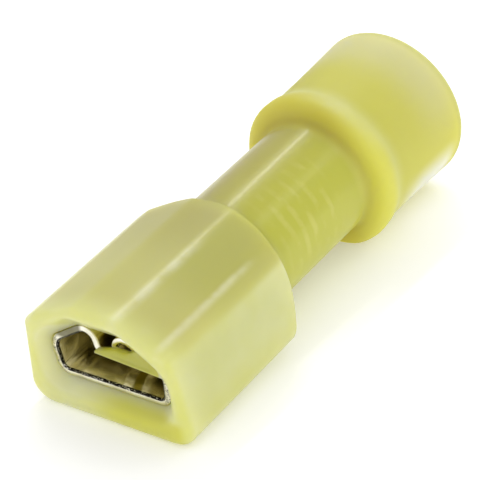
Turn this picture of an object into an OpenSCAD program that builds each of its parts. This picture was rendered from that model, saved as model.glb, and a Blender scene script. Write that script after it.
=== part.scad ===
// Fully insulated female spade terminal: a moulded nylon housing over a rolled sheet-metal receptacle.
// Y runs from the tab mouth (Y = 0) to the wire end, along the axis of the wire barrel (X = 0, Z = 0). +Z is up.

/* [Housing body] */
// Length from the tab mouth to the rim of the wire bell
total_len = 26; // [24:0.25:30]
// Width across the foot of the side walls
body_w = 10.1; // [9.8:0.1:11]
// Distance that each side wall leans in towards the top
wall_lean = 0.65; // [0.2:0.05:0.7]
// Depth of the underside below the barrel axis
body_drop = 2.8; // [2.5:0.05:3.2]
// Radius of the two lower corners
foot_r = 1.1; // [0.4:0.05:1.4]
// Height of the flat crest above the barrel axis
crest_z = 3.6; // [3.5:0.05:4.2]
// Width of the flat crest
crest_w = 2.4; // [1.5:0.1:3]
// Height of the fold between the roof slope and the shoulder
shoulder_z = 2.65; // [2.5:0.05:2.8]
// Width between those two folds
shoulder_w = 7.4; // [7:0.1:7.8]
// Rounding of the folds along the roof
fold_r = 0.45; // [0.1:0.05:0.6]
// Height at which the shoulders turn down into the side walls
eave_z = 2.1; // [1.9:0.05:2.4]
// Rounding of the two edges over the side walls
eave_r = 0.3; // [0.1:0.05:0.4]
// Rounding of the outer edge round the tab mouth
nose_r = 0.45; // [0.15:0.05:0.6]
// Slope of the coned rear end of the body, radius lost for each millimetre of length
cone_slope = 1.2; // [1:0.05:1.6]

/* [Neck and bell] */
// Outer diameter of the crimp neck
neck_d = 6.64; // [6.2:0.02:7]
// Distance from the mouth to the start of the neck
neck_start = 10.4; // [10.3:0.1:11.4]
// Distance from the mouth to the shoulder of the bell
bell_start = 18; // [17.8:0.1:18.4]
// Radius of the cove between the neck and the bell
cove_r = 0.3; // [0.2:0.05:0.4]
// Outer diameter of the bead on the bell's shoulder
bead_d = 8.96; // [8.4:0.02:9.4]
// Length over which the bead rounds up to its crown
bead_rise = 0.55; // [0.3:0.05:0.6]
// Length of the bead's crown
bead_crown = 0.3; // [0.1:0.05:0.4]
// Outer diameter at the waist of the bell
waist_d = 8.6; // [8.2:0.02:9]
// Distance from the shoulder of the bell to its waist
waist_back = 1.9; // [1.5:0.1:3]
// Outer diameter of the bell's rim
rim_d = 8.96; // [8.6:0.02:9.6]
// Inner diameter of the bell, which takes the wire's insulation
entry_d = 7; // [6:0.1:7.4]
// Length of the straight part of the bell's bore
entry_len = 5.2; // [4:0.1:5.4]
// Length of the flared end of that bore
entry_chamfer = 0.4; // [0.2:0.05:0.5]
// Amount that the flared end opens by, on the radius
entry_flare = 0.25; // [0.1:0.05:0.25]
// Rounding of the bell's rim
rim_r = 0.32; // [0.1:0.02:0.4]

/* [Tab mouth] */
// Room between the receptacle and the mouth's rim, all round
mouth_room = 0.5; // [0.4:0.05:0.55]
// Extra room at the front face, where the mouth's rim is rounded off
mouth_flare = 0.3; // [0.1:0.05:0.3]
// Extra height of the mouth's arch, as a factor
mouth_lift = 1.1; // [1:0.02:1.12]
// Thickness of the guard web that crosses the right half of the mouth
web_t = 0.32; // [0.2:0.02:0.4]
// Height of the web's lower edge at its free end
web_z = 1.28; // [1.1:0.02:1.5]
// Amount that the lower edge falls towards the side wall
web_fall = 0.27; // [0:0.01:0.4]
// Depth of the web near its free end
web_h = 0.52; // [0.3:0.02:0.7]
// Distance that the guard web reaches past the middle of the mouth
web_reach = 0.3; // [0:0.05:0.5]
// Depth of the web at its free end
web_tip = 0.1; // [0.06:0.02:0.2]
// Distance from the middle of the mouth to where the web has its full depth
web_full_x = 0.9; // [0.7:0.1:1.2]
// Distance from the middle to where the web's top edge starts to climb
web_climb_x = 1.7; // [1.5:0.1:2]
// Distance from the middle to where the top edge is at its highest
web_top_x = 2.6; // [2.4:0.1:2.8]
// Depth of the web there
web_top_h = 1; // [0.8:0.05:1]
// Gap between the web and the rolled side behind it
web_gap = 0.12; // [0.08:0.02:0.2]

/* [Receptacle] */
// Thickness of the brass sheet
sheet_t = 0.4; // [0.3:0.02:0.45]
// Flat width of the floor between its two bends
floor_w = 5.5; // [5.3:0.1:5.6]
// Depth of the floor's underside below the barrel axis
floor_drop = 1.2; // [1.1:0.05:1.3]
// Radius of the floor bends, at the middle of the sheet
bend_r = 0.5; // [0.4:0.05:0.6]
// Flat height of each side wall
wall_h = 0.8; // [0.7:0.05:0.9]
// Radius of the outer roll, at the middle of the sheet
outer_roll_r = 0.9; // [0.8:0.05:1]
// Flat width between the outer and the inner roll
roof_flat = 1.65; // [1.4:0.05:1.7]
// Radius of the inner roll, at the middle of the sheet
inner_roll_r = 0.6; // [0.5:0.05:0.65]
// Gap between the floor and the rolled lips, which grips the tab
tab_gap = 0.82; // [0.7:0.02:1]
// Height that the lips are flared up by at the front, as a lead-in
lead_rise = 0.85; // [0.4:0.05:0.9]
// Length of that lead-in
lead_len = 1.5; // [1:0.1:2.5]
// Setback of the receptacle behind the front face
setback = 0.75; // [0.6:0.05:1]
// Length of the rolled receptacle
rec_len = 7.5; // [7:0.1:7.6]
// Diameter of the detent hole in the floor
detent_d = 1.7; // [1.2:0.1:2]
// Distance from the front of the receptacle to the detent hole
detent_y = 4.2; // [3:0.1:5.5]

/* [Wire barrel] */
// Inner diameter of the wire barrel
barrel_id = 3.5; // [3.2:0.05:3.6]
// Length of the wire barrel
barrel_len = 6.8; // [6:0.1:7]
// Distance from the end of the barrel to the shoulder of the bell
barrel_inset = 0.3; // [0.2:0.05:0.5]
// Chamfer inside the barrel's wire end
barrel_chamfer = 0.22; // [0.1:0.02:0.24]
// Width of the butted seam along the top of the barrel
seam_w = 0.08; // [0.04:0.02:0.2]
// Number of grip grooves inside the barrel
groove_count = 4; // [2:2:4]
// Width of each grip groove
groove_w = 0.3; // [0.2:0.05:0.4]
// Depth of each grip groove
groove_depth = 0.18; // [0.16:0.02:0.2]
// Distance between grip grooves
groove_pitch = 1.1; // [0.8:0.1:1.3]

/* [Fits] */
// Clearance between the terminal and the cavity round it
fit_gap = 0.05; // [0.03:0.01:0.1]
// Depth of the step that stops the barrel's wire end
stop_step = 0.15; // [0.1:0.01:0.2]
// Length of that step
stop_len = 0.45; // [0.3:0.05:0.6]
// Distance that the barrel's seat starts ahead of the barrel
seat_lead = 0.5; // [0.4:0.05:0.6]

/* [Hidden] */
nylon = [0.86, 0.85, 0.38];
tin = [0.80, 0.80, 0.76];
eps = 0.02;
round_fn = 96;

// Angles of the folded sheet, counted anticlockwise from +X as it runs out along the floor and up the side
wall_a = 84;
roof_a = 148;
lip_a = 264;
lip_turn = 50;
lip_r = 0.3;
trough_side_a = 80;
trough_wrap_a = 120;

// Height of the trough's sides, and the length that it laps the pieces before and after it
trough_side = 0.5;
trough_lap = 0.3;
// Share of the lead-in's length and of its flare at its knee
lead_knee = 0.35;
lead_knee_flare = 0.6;
// Distance ahead of the neck where the round belly starts under the body, and where it reaches full size
belly_start = 3;
belly_end = 1.4;

barrel_r = barrel_id / 2;
barrel_or = barrel_r + sheet_t;
seat_r = barrel_or + fit_gap;
sheet_mid_z = sheet_t / 2 - floor_drop;
floor_top = sheet_t - floor_drop;

// ---- plain curve helpers ----

// Points of an arc about c, from angle a0 to a1, in n steps
function arc(c, r, a0, a1, n) = [for (i = [0 : n]) c + r * [cos(a0 + (a1 - a0) * i / n), sin(a0 + (a1 - a0) * i / n)]];
function backwards(v) = [for (i = [len(v) - 1 : -1 : 0]) v[i]];
function mirrored(v) = [for (p = v) [-p[0], p[1]]];
// A closed loop from its right half, which has no point on the centre plane
function closed(half) = concat(half, backwards(mirrored(half)));
// Corner c moved in by d from both of its sides, which run towards a and b
function moved_in(a, c, b, d) =
    let (u = (a - c) / norm(a - c), v = (b - c) / norm(b - c)) c + (u + v) / norm(u + v) * d / sin(acos(u * v) / 2);
// Points of a rounded corner at c, on the way from a to b
function fillet(a, c, b, r, n) =
    let (
        u = (a - c) / norm(a - c),
        v = (b - c) / norm(b - c),
        half = acos(u * v) / 2,
        m = moved_in(a, c, b, r),
        s = c + u * r / tan(half) - m,
        turn = (cross(u, v) < 0 ? 1 : -1) * (180 - 2 * half) / n
    ) [for (i = [0 : n]) m + [s[0] * cos(turn * i) - s[1] * sin(turn * i), s[0] * sin(turn * i) + s[1] * cos(turn * i)]];
// A flat loop stood upright at distance y from the mouth
function at_y(loop, y) = [for (p = loop) [p[0], y, p[1]]];

// A closed skin through a row of loops that all have the same number of points. The two ends are flat. With strip set,
// each loop is a thin band, one side there and the other side back, and its ends are filled across the band.
module loft(loops, strip = false) {
    n = len(loops[0]);
    last = (len(loops) - 1) * n;
    walls = [
        for (j = [0 : len(loops) - 2], i = [0 : n - 1])
            let (a = j * n + i, b = j * n + (i + 1) % n, c = b + n, d = a + n)
                each [[a, b, c], [a, c, d]]
    ];
    end = strip ? [for (i = [0 : n / 2 - 2]) [i, i + 1, n - 2 - i, n - 1 - i]] : [[for (i = [0 : n - 1]) i]];
    front = [for (f = end) backwards(f)];
    back = [for (f = end) [for (i = f) last + i]];
    polyhedron([for (l = loops) each l], concat(walls, front, back), convexity = 8);
}

// Turns a shape that was revolved about +Z so that its axis runs along +Y
module along_y() {
    rotate([-90, 0, 0]) children();
}

// Stands a flat outline upright and gives it length, from y0 to y1
module upright(y0, y1) {
    translate([0, y1, 0]) rotate([90, 0, 0]) linear_extrude(y1 - y0) children();
}

// ---- the folded sheet ----

// The sheet's middle line, as [x, z, heading] points. Each step is [straight length] or [radius, turn, pieces],
// and a negative turn bends clockwise.
function fold(steps, p, i = 0) =
    i == len(steps) ? [p]
    : len(steps[i]) == 1
        ? concat([p], fold(steps, [p[0] + steps[i][0] * cos(p[2]), p[1] + steps[i][0] * sin(p[2]), p[2]], i + 1))
        : let (bent = bend_points(steps[i], p)) concat([p], bent, fold(steps, bent[len(bent) - 1], i + 1));
function bend_points(s, p) =
    let (side = s[1] > 0 ? 1 : -1, c = [p[0] - side * s[0] * sin(p[2]), p[1] + side * s[0] * cos(p[2])])
        [for (k = [1 : s[2]]) let (a = p[2] + s[1] * k / s[2])
            [c[0] + side * s[0] * sin(a), c[1] - side * s[0] * cos(a), a]];
function beside(path, d) = [for (p = path) [p[0] - d * sin(p[2]), p[1] + d * cos(p[2])]];
// Points that stand on one another are dropped, so that no face of the skin is a line
function no_twins(v) = [for (i = [0 : len(v) - 1]) if (i == 0 || norm(v[i] - v[max(i - 1, 0)]) > eps / 4) v[i]];
// Both halves of a symmetric curve, from its left end to its right end
function whole(half) = concat(backwards(mirrored(half)), half);
// The whole section of the sheet as a thin band, from one half of its middle line
function sheet_loop(path, t = sheet_t) =
    concat(whole(no_twins(beside(path, -t / 2))), backwards(whole(no_twins(beside(path, t / 2)))));

// One half of the receptacle's section, from the edge of its flat floor to the lip
function receptacle_path(lip_len) = fold([
    [bend_r, wall_a, 5],
    [wall_h],
    [outer_roll_r, roof_a - wall_a, 6],
    [roof_flat],
    [inner_roll_r, lip_a - roof_a, 7],
    [lip_len],
    [lip_r, -lip_turn, 3]
], [floor_w / 2, sheet_mid_z, 0]);
// Height of the underside of the lip's tip
function tip_low(path) = let (under = beside(path, sheet_t / 2)) under[len(under) - 1][1];
// Length of lip that leaves a gap h over the floor
function lip_len_for(h) = (tip_low(receptacle_path(0)) - floor_top - h) / cos(lip_a - 270);

outer_centre_x = floor_w / 2 + bend_r * sin(wall_a) + wall_h * cos(wall_a) - outer_roll_r * sin(wall_a);
outer_centre_z = sheet_mid_z + bend_r * (1 - cos(wall_a)) + wall_h * sin(wall_a) + outer_roll_r * cos(wall_a);
rec_half = outer_centre_x + outer_roll_r + sheet_t / 2;
rec_top = max([for (p = beside(receptacle_path(eps), -sheet_t / 2)) p[1]]);
rec_back = setback + rec_len;
barrel_end = bell_start - barrel_inset;
barrel_start = barrel_end - barrel_len;

// ---- housing ----

foot_x = body_w / 2;
eave_x = foot_x - wall_lean;
// Corners of the right half of the body's section, from the middle of its underside to the middle of its crest
body_corners = [
    [0, -body_drop],
    [foot_x, -body_drop],
    [eave_x, eave_z],
    [shoulder_w / 2, shoulder_z],
    [crest_w / 2, crest_z],
    [0, crest_z]
];
// Right half of the body's section, shrunk by inset at the nose
function body_half(inset) =
    let (
        c = body_corners,
        p = [for (i = [1 : 4]) moved_in(c[i - 1], c[i], c[i + 1], inset)]
    ) concat(
        fillet(c[0] + [0, inset], p[0], p[1], foot_r - inset / 2, 8),
        fillet(p[0], p[1], p[2], eave_r, 4),
        fillet(p[1], p[2], p[3], fold_r, 2),
        fillet(p[2], p[3], c[5] - [0, inset], fold_r, 2));

// The body's prism with its rounded nose, cut at the rear by a cone about the barrel axis
module body() {
    cone_base = neck_d / 2 + (neck_start + eps) * cone_slope;
    nose = [for (a = [0 : 18 : 90]) [nose_r * (1 - cos(a)), nose_r * (1 - sin(a))]];
    intersection() {
        loft(concat(
            [for (p = nose) at_y(closed(body_half(p[1])), p[0])],
            [at_y(closed(body_half(0)), neck_start)]));
        along_y() translate([0, 0, -eps]) cylinder(h = neck_start + 2 * eps, r1 = cone_base, r2 = neck_d / 2, $fn = round_fn);
    }
}

// Half profile of the neck and bell, radius against distance from the mouth. The bell starts with a rounded bead.
function bell_profile() =
    let (
        bead = bead_d / 2,
        neck = neck_d / 2,
        waist = waist_d / 2,
        rim = rim_d / 2,
        root = neck + cove_r,
        bead_y = bell_start + cove_r + bead_rise,
        fall_y = bead_y + bead_crown,
        waist_y = bell_start + waist_back,
        flank = total_len - rim_r - waist_y
    ) concat(
        [
            [0, neck_start - belly_start],
            [body_drop - eps, neck_start - belly_start],
            [neck, neck_start - belly_end]
        ],
        arc([root, bell_start], cove_r, 180, 90, 4),
        [for (a = [15 : 15 : 90]) [root + (bead - root) * sin(a), bead_y - bead_rise * cos(a)]],
        [for (k = [0.25 : 0.25 : 1]) [bead + (waist - bead) * k * k * (3 - 2 * k), fall_y + (waist_y - fall_y) * k]],
        [for (k = [0.25 : 0.25 : 0.75]) [waist + (rim - waist) * pow(k, 1.4), waist_y + flank * k]],
        arc([rim - rim_r, total_len - rim_r], rim_r, 0, 90, 5),
        [[0, total_len]]);

module neck_and_bell() {
    along_y() rotate_extrude($fn = round_fn) polygon(bell_profile());
}

// Outline of the space round the receptacle, at distance d from the sheet. It bridges the gap between the two rolls.
function space_loop(d, lift = 1) =
    let (half = no_twins(beside(fold([
        [bend_r, wall_a, 5],
        [wall_h],
        [outer_roll_r, roof_a - wall_a, 6],
        [roof_flat],
        [inner_roll_r, 180 - roof_a, 3]
    ], [floor_w / 2, sheet_mid_z, 0]), -sheet_t / 2 - d)))
        [for (p = closed(half)) [p[0], p[1] * (p[1] > 0 ? lift : 1)]];

// The flared tab mouth, which ends at the front edge of the receptacle, and the cavity behind it
module mouth_space() {
    rim_end = setback / 4;
    loft([
        at_y(space_loop(mouth_room + mouth_flare, mouth_lift), -eps),
        at_y(space_loop(mouth_room + mouth_flare / 4, mouth_lift), rim_end / 2),
        at_y(space_loop(mouth_room, mouth_lift), rim_end),
        at_y(space_loop(fit_gap), setback)
    ]);
    upright(setback - eps, rec_back + fit_gap) polygon(space_loop(fit_gap));
    // Taper from the cavity to the barrel's seat
    hull() {
        upright(rec_back, rec_back + fit_gap) polygon(space_loop(fit_gap));
        along_y() translate([0, 0, barrel_start - seat_lead]) cylinder(h = seat_lead / 4, r = seat_r, $fn = 32);
    }
}

// Everything round that is bored from the wire end: bell, funnel, throat and the barrel's seat
module wire_space() {
    throat_r = barrel_or - stop_step;
    entry_bottom = total_len - entry_chamfer - entry_len;
    along_y() rotate_extrude($fn = round_fn) polygon([
        [0, barrel_start - seat_lead],
        [seat_r, barrel_start - seat_lead],
        [seat_r, barrel_end + fit_gap],
        [throat_r, barrel_end + fit_gap],
        [throat_r, barrel_end + fit_gap + stop_len],
        [entry_d / 2, entry_bottom],
        [entry_d / 2, total_len - entry_chamfer],
        [entry_d / 2 + entry_flare, total_len + eps],
        [0, total_len + eps]
    ]);
}

// Thin guard web across the right half of the mouth, just in front of the rolled side
module guard_web() {
    back = setback - web_gap;
    side = rec_half + mouth_room + fit_gap;
    upright(back - web_t, back) polygon([
        [-web_reach, web_z],
        [side, web_z - web_fall],
        [side, web_z + web_fall],
        [web_top_x, web_z + web_top_h],
        [web_climb_x, web_z + web_h],
        [web_full_x, web_z + web_h],
        [-web_reach, web_z + web_tip]
    ]);
}

module housing() {
    color(nylon) union() {
        difference() {
            union() {
                body();
                neck_and_bell();
            }
            mouth_space();
            wire_space();
        }
        guard_web();
    }
}

// ---- terminal ----

// Rolled receptacle: floor, side walls and rolled lips, flared at the front
module receptacle() {
    nominal = lip_len_for(tab_gap);
    lead = lip_len_for(tab_gap + lead_rise);
    difference() {
        loft([
            at_y(sheet_loop(receptacle_path(lead)), setback),
            at_y(sheet_loop(receptacle_path(nominal + (lead - nominal) * lead_knee_flare)), setback + lead_len * lead_knee),
            at_y(sheet_loop(receptacle_path(nominal)), setback + lead_len),
            at_y(sheet_loop(receptacle_path(nominal)), rec_back)
        ], strip = true);
        translate([0, setback + detent_y, -floor_drop - sheet_t]) cylinder(h = 3 * sheet_t, d = detent_d, $fn = 32);
    }
}

// Trough that narrows from the receptacle's floor to the underside of the barrel
function trough_path(k) =
    let (
        flat = floor_w / 2 * (1 - k) * (1 - k) + eps,
        r = bend_r + (barrel_r + sheet_t / 2 - bend_r) * k,
        turn = trough_side_a + (trough_wrap_a - trough_side_a) * k,
        z = sheet_mid_z + (-barrel_r - sheet_t / 2 - sheet_mid_z) * k
    ) fold([[r, turn, 10], [trough_side * (1 - k) + eps]], [flat, z, 0]);

module trough() {
    start = rec_back - trough_lap;
    end = barrel_start + trough_lap;
    loft([
        for (i = [0 : 6]) let (k = i / 6, s = k * k * (3 - 2 * k))
            at_y(sheet_loop(trough_path(s), sheet_t - 2 * eps), start + (end - start) * k)
    ], strip = true);
}

module barrel() {
    grooves_mid = (barrel_start + barrel_end) / 2;
    difference() {
        along_y() translate([0, 0, barrel_start]) cylinder(h = barrel_len, r = barrel_or, $fn = round_fn);
        along_y() translate([0, 0, barrel_start - eps]) cylinder(h = barrel_len + 2 * eps, r = barrel_r, $fn = round_fn);
        // Lead-in chamfer at the wire end
        along_y() translate([0, 0, barrel_end - barrel_chamfer])
            cylinder(h = barrel_chamfer + eps, r1 = barrel_r - eps, r2 = barrel_r + barrel_chamfer, $fn = round_fn);
        for (i = [0 : groove_count - 1])
            along_y() translate([0, 0, grooves_mid + (i - (groove_count - 1) / 2) * groove_pitch - groove_w / 2])
                cylinder(h = groove_w, r = barrel_r + groove_depth, $fn = round_fn);
        // Butted seam
        translate([-seam_w / 2, barrel_start - eps, 0]) cube([seam_w, barrel_len + 2 * eps, barrel_or + sheet_t]);
    }
}

module terminal() {
    color(tin) union() {
        receptacle();
        trough();
        barrel();
    }
}

housing();
terminal();
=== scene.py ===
import math

import bmesh
import bpy
from mathutils import Matrix, Vector


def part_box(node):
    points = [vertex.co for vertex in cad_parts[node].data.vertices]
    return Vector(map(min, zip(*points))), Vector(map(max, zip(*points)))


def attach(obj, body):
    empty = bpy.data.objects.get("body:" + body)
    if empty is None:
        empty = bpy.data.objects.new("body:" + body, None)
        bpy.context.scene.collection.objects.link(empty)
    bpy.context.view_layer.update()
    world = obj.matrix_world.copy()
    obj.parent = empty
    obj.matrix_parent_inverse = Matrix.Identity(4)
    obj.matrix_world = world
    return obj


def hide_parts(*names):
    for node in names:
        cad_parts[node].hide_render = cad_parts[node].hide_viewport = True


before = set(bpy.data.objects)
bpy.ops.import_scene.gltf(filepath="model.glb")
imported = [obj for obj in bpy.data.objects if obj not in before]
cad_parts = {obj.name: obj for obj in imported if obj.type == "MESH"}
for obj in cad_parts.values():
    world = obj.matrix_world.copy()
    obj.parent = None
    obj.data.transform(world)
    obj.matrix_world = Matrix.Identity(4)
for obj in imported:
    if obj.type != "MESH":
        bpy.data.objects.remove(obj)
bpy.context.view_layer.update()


# ---- Nylon housing ----------------------------------------------------------------------------------------------
# One injection moulding in translucent yellow nylon that insulates the whole terminal. The metal piece is pushed in
# from the wire end and held by the neck, which is crimped together with the barrel inside it. The walls are thin, so
# the plated metal shows through them as an olive shade.

MM = 0.001
BODY_END = 10.0 * MM
NECK_END = 18.0 * MM
RING_PITCH = 0.8 * MM
HOUSING_FOLD = 26.0


class Value:
    """A socket of a finish's node graph that can be used in ordinary arithmetic."""

    def __init__(self, finish, socket):
        self.finish = finish
        self.socket = socket

    def maths(self, operation, *values):
        sockets = dict(enumerate(values))
        return self.finish.add("ShaderNodeMath", {"operation": operation}, sockets)

    def __add__(self, other):
        return self.maths("ADD", self, other)

    __radd__ = __add__

    def __sub__(self, other):
        return self.maths("SUBTRACT", self, other)

    def __rsub__(self, other):
        return self.maths("SUBTRACT", other, self)

    def __mul__(self, other):
        return self.maths("MULTIPLY", self, other)

    __rmul__ = __mul__

    def __abs__(self):
        return self.maths("ABSOLUTE", self)

    def sine(self):
        return self.maths("SINE", self)

    def ramp(self, low, high):
        """0 below low and 1 above high, with a soft step between."""
        settings = {"interpolation_type": "SMOOTHSTEP"}
        return self.finish.add("ShaderNodeMapRange", settings, {0: self, 1: low, 2: high, 3: 0.0, 4: 1.0})

    def band(self, low, high, soft):
        """1 between low and high, and 0 beyond them."""
        return self.ramp(low - soft, low + soft) * (1 - self.ramp(high - soft, high + soft))


class Finish:
    """A material whose node graph is written as expressions."""

    def __init__(self, name):
        self.material = bpy.data.materials.new(name)
        self.material.use_nodes = True
        self.tree = self.material.node_tree
        self.tree.nodes.clear()
        self.place = self.add("ShaderNodeTexCoord", out="Object")
        axes = self.add("ShaderNodeSeparateXYZ", sockets={0: self.place}, out=None)
        self.x, self.y, self.z = [Value(self, socket) for socket in axes.outputs]

    def add(self, kind, settings=None, sockets=None, out=0):
        node = self.tree.nodes.new(kind)
        for name, value in (settings or {}).items():
            setattr(node, name, value)
        for key, value in (sockets or {}).items():
            if isinstance(value, Value):
                self.tree.links.new(value.socket, node.inputs[key])
            else:
                node.inputs[key].default_value = value
        return node if out is None else Value(self, node.outputs[out])

    def mix(self, amount, first, second):
        return self.add("ShaderNodeMix", {"data_type": "RGBA"}, {0: amount, 6: first, 7: second}, out=2)

    def noise(self, size, detail=3.0, roughness=0.5, stretch=(1.0, 1.0, 1.0)):
        """Even noise with features of about the given size in metres."""
        scale = [1.0 / (size * s) for s in stretch]
        place = self.add("ShaderNodeMapping", sockets={"Vector": self.place, "Scale": scale})
        sockets = {"Vector": place, "Scale": 1.0, "Detail": detail, "Roughness": roughness}
        return self.add("ShaderNodeTexNoise", {"noise_dimensions": "3D"}, sockets, out="Fac")

    def bump(self, height, distance, under=None):
        sockets = {"Height": height, "Distance": distance, "Strength": 1.0}
        if under is not None:
            sockets["Normal"] = under
        return self.add("ShaderNodeBump", sockets=sockets, out="Normal")

    def shade(self, sockets):
        surface = self.add("ShaderNodeBsdfPrincipled", sockets=sockets, out="BSDF")
        self.add("ShaderNodeOutputMaterial", sockets={"Surface": surface}, out=None)
        return self.material


def srgb(code):
    """Linear colour from a six-digit sRGB code."""
    parts = [int(code[i : i + 2], 16) / 255 for i in (0, 2, 4)]
    return (*[p / 12.92 if p <= 0.04045 else ((p + 0.055) / 1.055) ** 2.4 for p in parts], 1.0)


def smooth_copy(node, name, fold_degrees):
    """A merged copy of a CAD node that shades smoothly except across folds sharper than the given angle."""
    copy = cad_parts[node].copy()
    copy.data = copy.data.copy()
    copy.name = name
    copy.data.name = name
    copy.parent = None
    copy.matrix_world = Matrix.Identity(4)
    bpy.context.scene.collection.objects.link(copy)
    mesh = bmesh.new()
    mesh.from_mesh(copy.data)
    bmesh.ops.remove_doubles(mesh, verts=mesh.verts, dist=0.002 * MM)
    bmesh.ops.dissolve_degenerate(mesh, edges=mesh.edges, dist=0.001 * MM)
    flat = [e for e in mesh.edges if len(e.link_faces) == 2 and e.calc_face_angle(0.0) < math.radians(0.3)]
    bmesh.ops.dissolve_edges(mesh, edges=flat, use_verts=False, use_face_split=False)
    bmesh.ops.triangulate(mesh, faces=mesh.faces, quad_method="BEAUTY", ngon_method="BEAUTY")
    mesh.to_mesh(copy.data)
    mesh.free()
    for attribute in ("custom_normal", "sharp_face"):
        if attribute in copy.data.attributes:
            copy.data.attributes.remove(copy.data.attributes[attribute])
    copy.data.shade_smooth()
    copy.data.set_sharp_from_angle(angle=math.radians(fold_degrees))
    return copy


def nylon_finish():
    nylon = Finish("yellow_nylon")
    x, y, z = nylon.x, nylon.y, nylon.z
    cloud = nylon.noise(3.0 * MM, detail=2.0).ramp(0.3, 0.7)
    colour = nylon.mix(cloud, srgb("D2D385"), srgb("D8D998"))
    # Painted shade: the metal inside darkens the roof of the body and the whole neck to olive
    roof = z.ramp(1.6 * MM, 2.6 * MM) * y.band(1.2 * MM, 10.2 * MM, 1.0 * MM)
    shaded = nylon.mix(y.ramp(3.0 * MM, 9.0 * MM), srgb("C8C46E"), srgb("B4AE54"))
    colour = nylon.mix(roof * 0.9, colour, shaded)
    # Painted shade: the right slope of the roof, turned away from the key light, is darker still
    colour = nylon.mix(roof * x.ramp(0.6 * MM, 1.6 * MM) * y.ramp(2.0 * MM, 6.0 * MM) * 0.8, colour, srgb("BAB954"))
    # Painted light and shade: the neck is lighter on its right side and darker on its left
    neck = y.band(BODY_END, NECK_END, 0.7 * MM)
    colour = nylon.mix(neck, colour, nylon.mix(x.ramp(-2.5 * MM, 3.0 * MM), srgb("A89E46"), srgb("C4C43E")))
    # Painted reflection: the grooves of the barrel glint through the right side of the neck as faint pale rings
    rings = (y * (2 * math.pi / RING_PITCH) + nylon.noise(1.5 * MM) * 3.0).sine().ramp(-0.6, 1.2)
    rings = rings * y.band(11.3 * MM, 15.8 * MM, 0.5 * MM) * x.ramp(0.6 * MM, 2.2 * MM) * z.ramp(-1.5 * MM, 0.5 * MM)
    colour = nylon.mix(rings * nylon.noise(1.0 * MM).ramp(0.35, 0.65) * 0.35, colour, srgb("DEDA80"))
    # Thick nylon is the deepest yellow, most of all the bead at the shoulder of the bell
    bead = y.band(17.8 * MM, 19.4 * MM, 0.5 * MM)
    # Painted light keeps the crown of the bead paler on top
    crown = z.ramp(1.5 * MM, 3.8 * MM) * x.ramp(-1.5 * MM, 1.5 * MM) * y.ramp(18.3 * MM, 19.0 * MM)
    bead = bead * (1 - crown * 0.7)
    # Painted shade darkens the left side of the bead
    colour = nylon.mix(bead * 0.85, colour, nylon.mix(x.ramp(1.0 * MM, 4.0 * MM), srgb("C4BA2C"), srgb("D6D250")))
    # The bell pales towards its rim in painted light, above all on top, and is whitest low on its right flank
    bell = y.ramp(19.0 * MM, 20.5 * MM)
    # Painted shade darkens the left side of the bell
    colour = nylon.mix(bell * 0.85, colour, nylon.mix(x.ramp(-4.0 * MM, 0.0), srgb("ACA638"), srgb("CAC64A")))
    colour = nylon.mix(y.ramp(21.5 * MM, 25.0 * MM) * z.ramp(-1.0 * MM, 3.5 * MM) * 0.8, colour, srgb("CFCDA0"))
    # Painted reflection: the near-white patch low on the right flank stands for glare from the bright room
    flank = y.ramp(19.6 * MM, 22.6 * MM) * (1 - y.ramp(24.4 * MM, 25.6 * MM)) * x.ramp(2.0 * MM, 3.6 * MM)
    flank = flank * z.ramp(-4.6 * MM, -3.4 * MM) * (1 - z.ramp(-2.2 * MM, -0.4 * MM))
    colour = nylon.mix(flank * 0.75, colour, srgb("F8F7EE"))
    colour = nylon.mix(y.ramp(25.3 * MM, 25.8 * MM) * 0.6, colour, srgb("A8AA5C"))
    # The flared mouth is palest, as light comes through it from all sides
    mouth = y.band(0.1 * MM, 0.9 * MM, 0.1 * MM) * (1 - abs(x).ramp(3.8 * MM, 4.3 * MM))
    mouth = mouth * z.band(-2.2 * MM, 2.3 * MM, 0.2 * MM)
    colour = nylon.mix(mouth * 0.75, colour, srgb("E2E2B8"))
    brow = (1 - y.ramp(0.1 * MM, 0.6 * MM)) * abs(x).ramp(3.9 * MM, 4.7 * MM)
    colour = nylon.mix(brow * 0.5, colour, srgb("CACC50"))
    # Painted highlights whiten the folds along the right of the roof, broken up by noise
    highlight_breakup = nylon.noise(1.2 * MM, detail=2.0).ramp(0.1, 0.7)
    ridge = x.band(1.15 * MM, 1.45 * MM, 0.3 * MM) * z.ramp(3.1 * MM, 3.3 * MM) * y.band(0.4 * MM, 7.0 * MM, 1.5 * MM)
    eave = x.band(3.6 * MM, 3.8 * MM, 0.2 * MM) * z.ramp(2.2 * MM, 2.4 * MM) * y.band(0.3 * MM, 7.5 * MM, 1.0 * MM)
    colour = nylon.mix((ridge + eave) * highlight_breakup * 0.7, colour, srgb("ECEAD2"))
    # The lower lip and the guard web are thick, and the lower part of the right side is a little darker in painted
    # shade
    lip = (1 - y.ramp(0.7 * MM, 1.4 * MM)) * (1 - z.ramp(-1.6 * MM, -1.0 * MM)) * x.ramp(-2.5 * MM, 1.0 * MM)
    lip = lip * (1 - x.ramp(4.1 * MM, 4.8 * MM))
    colour = nylon.mix(lip * 0.9, colour, srgb("CCCA3C"))
    web = y.band(0.25 * MM, 0.7 * MM, 0.03 * MM) * z.band(0.85 * MM, 2.3 * MM, 0.05 * MM)
    web = web * x.band(-0.4 * MM, 3.5 * MM, 0.1 * MM)
    colour = nylon.mix(web, colour, srgb("C6C02A"))
    low = (1 - z.ramp(-2.8 * MM, -0.4 * MM)) * x.ramp(3.8 * MM, 4.6 * MM) * y.band(1.0 * MM, 9.0 * MM, 1.0 * MM)
    colour = nylon.mix(low * 0.6, colour, srgb("C4C45E"))
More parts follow.
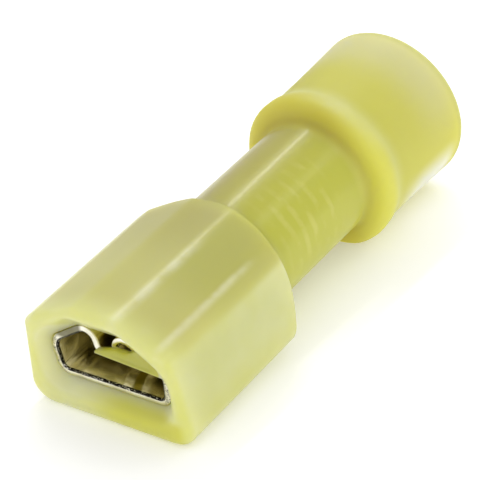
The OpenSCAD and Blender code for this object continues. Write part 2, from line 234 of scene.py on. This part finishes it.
    # The bell came off a duller part of the mould
    dull = y.ramp(17.6 * MM, 18.4 * MM)
    rounded = nylon.add("ShaderNodeBevel", {"samples": 6}, {"Radius": 0.7 * MM}, out="Normal")
    skin = nylon.bump(nylon.noise(0.5 * MM, detail=4.0), 0.004 * MM, under=rounded)
    sockets = {
        "Base Color": colour,
        "Roughness": 0.26 + nylon.noise(1.2 * MM) * 0.1 + dull * 0.3,
        "Normal": skin,
        "IOR": 1.53,
        "Subsurface Weight": 1.0,
        "Subsurface Radius": (1.0, 0.9, 0.35),
        "Subsurface Scale": 3.0 * MM,
        "Transmission Weight": 0.12,
        "Coat Weight": 0.2 - dull * 0.2,
        "Coat Roughness": 0.12,
    }
    return nylon.shade(sockets)


housing = smooth_copy("housing", "moulded_housing", HOUSING_FOLD)
housing.data.materials.clear()
housing.data.materials.append(nylon_finish())
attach(housing, "root")
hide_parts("housing")


# ---- Plated terminal --------------------------------------------------------------------------------------------
# One strip of brass about 0.4 mm thick, stamped, rolled into a receptacle for a flat tab at the front and into a
# barrel for the wire at the back, and tin plated. It is pushed into the housing and grips it by the barrel.

EDGE_RADIUS = 0.12 * MM
TERMINAL_FOLD = 28.0


def round_front_edges(piece, width):
    """Rounds the sheared edges round the front of the strip and marks those on its inner side for a painted shadow.
    """
    mesh = bmesh.new()
    mesh.from_mesh(piece.data)
    front = min(v.co.y for v in mesh.verts)
    rim = []
    for edge in mesh.edges:
        if len(edge.link_faces) == 2 and all(v.co.y < front + 0.001 * MM for v in edge.verts):
            facing = [f.normal.y < -0.9 for f in edge.link_faces]
            if facing[0] != facing[1]:
                rim.append(edge)
    bmesh.ops.bevel(mesh, geom=rim, offset=width, segments=2, profile=0.5, affect="EDGES", clamp_overlap=False)
    burr_shadow = mesh.faces.layers.float.new("burr_shadow")
    for face in mesh.faces:
        centre = face.calc_center_median()
        if centre.y < front + width and -0.97 < face.normal.y < -0.1:
            inwards = Vector((math.copysign(2.2 * MM, centre.x) - centre.x, 0.0, 0.2 * MM - centre.z))
            face[burr_shadow] = 1.0 if face.normal.dot(inwards) > 0 else 0.0
    mesh.to_mesh(piece.data)
    mesh.free()
    piece.data.shade_smooth()
    piece.data.set_sharp_from_angle(angle=math.radians(TERMINAL_FOLD))


def tin_finish():
    tin = Finish("tin_plate")
    rolled = tin.noise(0.12 * MM, detail=3.0, stretch=(0.5, 8.0, 0.5))
    worn = tin.noise(0.9 * MM, detail=4.0)
    speckle = tin.noise(0.09 * MM, detail=3.0, roughness=0.7)
    # The sheared front edge is bright, torn and grey up the side walls, dark where the roll starts, with a painted
    # near-black shadow line along its burred inner side
    sheared = 1 - tin.y.ramp(0.80 * MM, 0.90 * MM)
    upright = abs(tin.x).ramp(2.9 * MM, 3.3 * MM)
    rolling = tin.z.ramp(1.0 * MM, 1.3 * MM) * (1 - tin.x.ramp(-1.5 * MM, -1.2 * MM))
    burr_shadow = tin.add("ShaderNodeAttribute", {"attribute_name": "burr_shadow"}, out="Fac")
    colour = tin.mix(worn.ramp(0.35, 0.75), srgb("F2EFDF"), srgb("D6D0B0"))
    # Deeper in, the plate is darkened in olive patches, partly tarnish and partly a painted reflection of the nylon
    patches = tin.noise(1.1 * MM, detail=1.0, stretch=(1.0, 1.6, 1.0)).ramp(0.48, 0.56)
    colour = tin.mix(patches * tin.y.ramp(1.0 * MM, 2.2 * MM) * 0.8, colour, srgb("8E8650"))
    colour = tin.mix(sheared * upright * speckle.ramp(0.46, 0.6) * 0.8, colour, srgb("4A483C"))
    colour = tin.mix(sheared * rolling * 0.85, colour, srgb("5A5634"))
    # Painted shadow: a near-black line along the burred inner side of the front edge
    colour = tin.mix(burr_shadow * (1 - speckle.ramp(0.52, 0.62) * 0.7), colour, srgb("0E0C06"))
    height = rolled * 0.3 + tin.noise(0.6 * MM, detail=3.0) + sheared * upright * speckle * 3.0
    sockets = {
        "Base Color": colour,
        "Metallic": 1.0,
        "Roughness": 0.08 + worn * 0.08 + sheared * 0.18,
        "Normal": tin.bump(height, 0.004 * MM),
    }
    return tin.shade(sockets)


terminal = smooth_copy("terminal", "plated_terminal", TERMINAL_FOLD)
round_front_edges(terminal, EDGE_RADIUS)
terminal.data.materials.clear()
terminal.data.materials.append(tin_finish())
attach(terminal, "root")
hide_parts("terminal")


# ---- Studio -----------------------------------------------------------------------------------------------------
# A pale floor for the part to lie on, touching the foot of its body and the rim of its bell, in an even pale room.
# A narrow strip of light hangs over it on the left and a weak one behind it, with two broad ones in front and on the
# right.

FLOOR_REACH = 0.6
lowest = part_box("housing")[0][2]
foot = Vector((0.0, 0.3 * MM, lowest + 1.68 * MM))
rim = Vector((0.0, 25.6 * MM, lowest))
run = (rim - foot).normalized()
across = Vector((1.0, 0.0, 0.0))
quarters = ((-1, -1), (1, -1), (1, 1), (-1, 1))
corners = [foot + across * a * FLOOR_REACH + run * b * FLOOR_REACH for a, b in quarters]
floor_mesh = bpy.data.meshes.new("floor")
floor_mesh.from_pydata(corners, [], [(0, 1, 2, 3)])
floor = bpy.data.objects.new("floor", floor_mesh)
bpy.context.scene.collection.objects.link(floor)
paper = Finish("pale_paper")
paper_sockets = {
    "Base Color": (0.96, 0.96, 0.96, 1.0),
    "Roughness": 0.9,
    "Emission Color": (1.0, 1.0, 1.0, 1.0),
    "Emission Strength": 0.2,
}
floor_mesh.materials.append(paper.shade(paper_sockets))

middle = Vector((0.0, 12.0 * MM, 0.0))


def softbox(name, direction, distance, size, power):
    """A lamp that faces the middle of the part, with the second of its sizes along the part."""
    light = bpy.data.lights.new(name, "AREA")
    light.shape = "RECTANGLE"
    light.size, light.size_y = size
    light.energy = power
    lamp = bpy.data.objects.new(name, light)
    bpy.context.scene.collection.objects.link(lamp)
    back = Vector(direction).normalized()
    side = Vector((0.0, 1.0, 0.0)).cross(back).normalized()
    top = back.cross(side)
    turn = Matrix((side, top, back)).transposed().to_4x4()
    lamp.matrix_world = Matrix.Translation(middle + back * distance) @ turn


softbox("key_light", (-0.33, 0.62, 0.71), 0.3, (0.02, 0.26), 0.2)
softbox("back_light", (0.455, 0.62, 0.644), 0.3, (0.05, 0.16), 0.03)
softbox("front_light", (0.1, -0.95, 0.3), 0.4, (0.3, 0.3), 0.12)
softbox("side_light", (0.93, -0.1, 0.35), 0.4, (0.3, 0.3), 0.15)

world = bpy.data.worlds.new("room")
world.use_nodes = True
background = world.node_tree.nodes["Background"]
background.inputs["Color"].default_value = (1.0, 1.0, 1.0, 1.0)
background.inputs["Strength"].default_value = 0.85
bpy.context.scene.world = world
bpy.context.scene.view_settings.view_transform = "Standard"
# The light needs many turns to get out of the folded metal and the deep mouth
bpy.context.scene.cycles.glossy_bounces = 10
bpy.context.scene.cycles.diffuse_bounces = 8


# ---- Camera -----------------------------------------------------------------------------------------------------
# A long lens close to the part, looking down on the tab mouth from its right front, rolled so that the barrel's axis
# runs up the diagonal of the frame.

LENS = 155.8
DISTANCE = 104.65 * MM
camera_data = bpy.data.cameras.new("camera")
camera_data.lens = LENS
camera_data.sensor_width = 36.0
camera_data.clip_start = 0.005
camera_data.clip_end = 10.0
camera = bpy.data.objects.new("camera", camera_data)
bpy.context.scene.collection.objects.link(camera)
view = Vector((0.5466, -0.6206, 0.5622)).normalized()
right = Vector((0.8069, 0.5699, -0.1554))
right = (right - view * right.dot(view)).normalized()
upward = view.cross(right)
turn = Matrix((right, upward, view)).transposed().to_4x4()
spot = middle + view * DISTANCE - right * 0.322 * MM + upward * 0.074 * MM
camera.matrix_world = Matrix.Translation(spot) @ turn
bpy.context.scene.camera = camera
